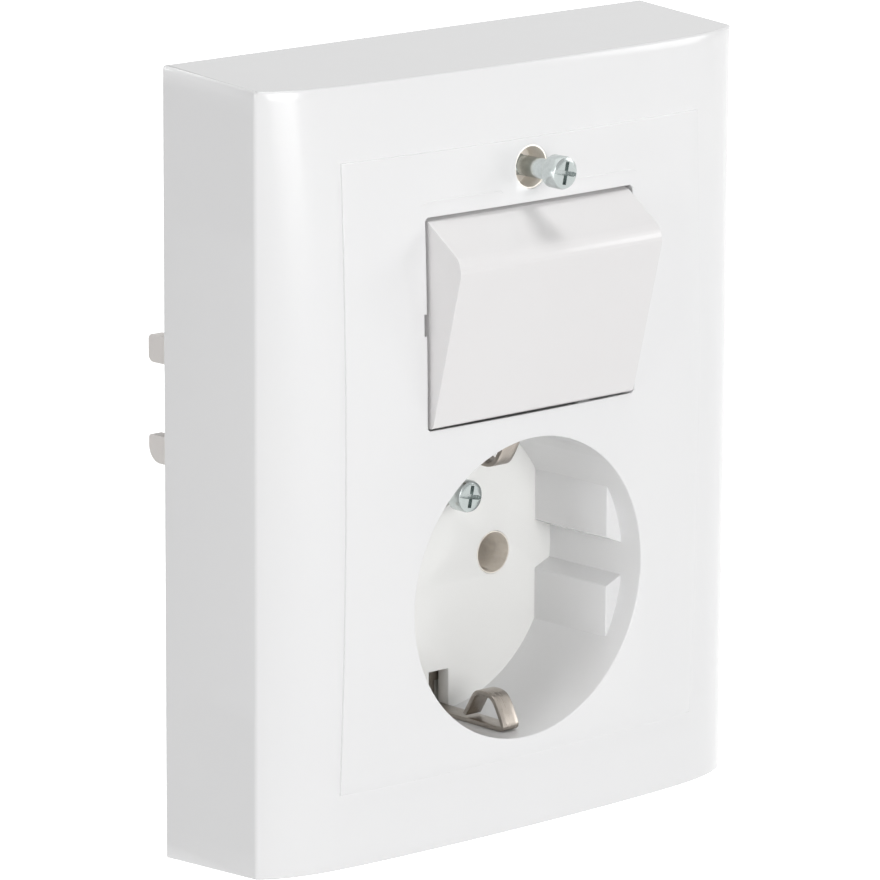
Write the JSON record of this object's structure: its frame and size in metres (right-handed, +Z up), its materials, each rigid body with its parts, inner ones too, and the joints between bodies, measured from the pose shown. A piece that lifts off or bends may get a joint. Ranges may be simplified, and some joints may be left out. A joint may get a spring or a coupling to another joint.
{
  "type": "switch and socket combination",
  "caption": "Wall plate in glossy white plastic with a rocker switch above an earthed socket, on an insert with support frame, contacts and screwless terminals for a flush wall box.",
  "frame": {"origin": "middle of the cover on the wall plane, midway between the wall box screws", "axes": "+X to the right seen from the front, +Y into the wall, +Z up"},
  "size_m": [0.082, 0.06, 0.1014],
  "materials": {
    "cover_white": "smooth glossy white moulding",
    "rocker_white": "satin white moulding, slightly warmer than the cover",
    "cream_plastic": "off-white moulding",
    "base_plastic": "light grey insulating moulding",
    "brass": "stamped and bent strip",
    "nickel": "nickel-plated strip",
    "zinc_steel": "zinc-plated sheet steel",
    "zinc_screw": "bright zinc plating with a bluish tint",
    "spring_steel": "spring steel"
  },
  "bodies": {
    "insert_and_cover": {"cover": "cover_white", "common_contact": "brass", "upper_contact": "brass", "lower_contact": "brass", "left_pin_contact": "nickel", "right_pin_contact": "nickel", "line_link": "brass", "earth_bow": "nickel", "earth_strap": "nickel", "support_frame": "zinc_steel", "frame_rivets": "zinc_steel", "base_block": "base_plastic", "back_plate": "base_plastic", "back_plate_screws": "zinc_screw", "screw_eyelet": "zinc_screw", "upper_left_clamp": "spring_steel", "lower_left_clamp": "spring_steel", "upper_right_clamp": "spring_steel", "lower_right_clamp": "spring_steel", "earth_clamp": "spring_steel"},
    "rocker": {"rocker": "rocker_white", "rocker_carrier": "cream_plastic", "plunger": "cream_plastic", "plunger_spring": "spring_steel"},
    "contact_lever": {"contact_lever": "brass"},
    "upper_screw": {"upper_cover_screw": "zinc_screw"},
    "lower_screw": {"lower_cover_screw": "zinc_screw"},
    "upper_left_lever": {"upper_left_lever": "cream_plastic"},
    "lower_left_lever": {"lower_left_lever": "cream_plastic"},
    "upper_right_lever": {"upper_right_lever": "cream_plastic"},
    "lower_right_lever": {"lower_right_lever": "cream_plastic"}
  },
  "joints": [
    {"name": "rocker_tilt", "type": "hinge", "parent": "insert_and_cover", "child": "rocker", "pos_m": [0, -0.01664, 0.0185], "axis": [-1, 0, 0], "range_deg": [0, 28]},
    {"name": "contact_lever_tilt", "type": "hinge", "parent": "insert_and_cover", "child": "contact_lever", "pos_m": [0, -0.0066, 0.0185], "axis": [1, 0, 0], "range_deg": [0, 16]},
    {"name": "upper_screw_drive", "type": "slide", "parent": "insert_and_cover", "child": "upper_screw", "axis": [0, 1, 0], "range_m": [0, 0.0071]},
    {"name": "lower_screw_drive", "type": "slide", "parent": "insert_and_cover", "child": "lower_screw", "axis": [0, 1, 0], "range_m": [0, 0.0051]},
    {"name": "upper_left_lever_press", "type": "slide", "parent": "insert_and_cover", "child": "upper_left_lever", "axis": [0, -1, 0], "range_m": [0, 0.0025], "stiffness_N_per_m": 400, "springref_m": -0.001},
    {"name": "lower_left_lever_press", "type": "slide", "parent": "insert_and_cover", "child": "lower_left_lever", "axis": [0, -1, 0], "range_m": [0, 0.0025], "stiffness_N_per_m": 400, "springref_m": -0.001},
    {"name": "upper_right_lever_press", "type": "slide", "parent": "insert_and_cover", "child": "upper_right_lever", "axis": [0, -1, 0], "range_m": [0, 0.0025], "stiffness_N_per_m": 400, "springref_m": -0.001},
    {"name": "lower_right_lever_press", "type": "slide", "parent": "insert_and_cover", "child": "lower_right_lever", "axis": [0, -1, 0], "range_m": [0, 0.0025], "stiffness_N_per_m": 400, "springref_m": -0.001}
  ],
  "couplings": [
    {"joint": "contact_lever_tilt", "follows": "rocker_tilt", "ratio": 0.5714}
  ]
}
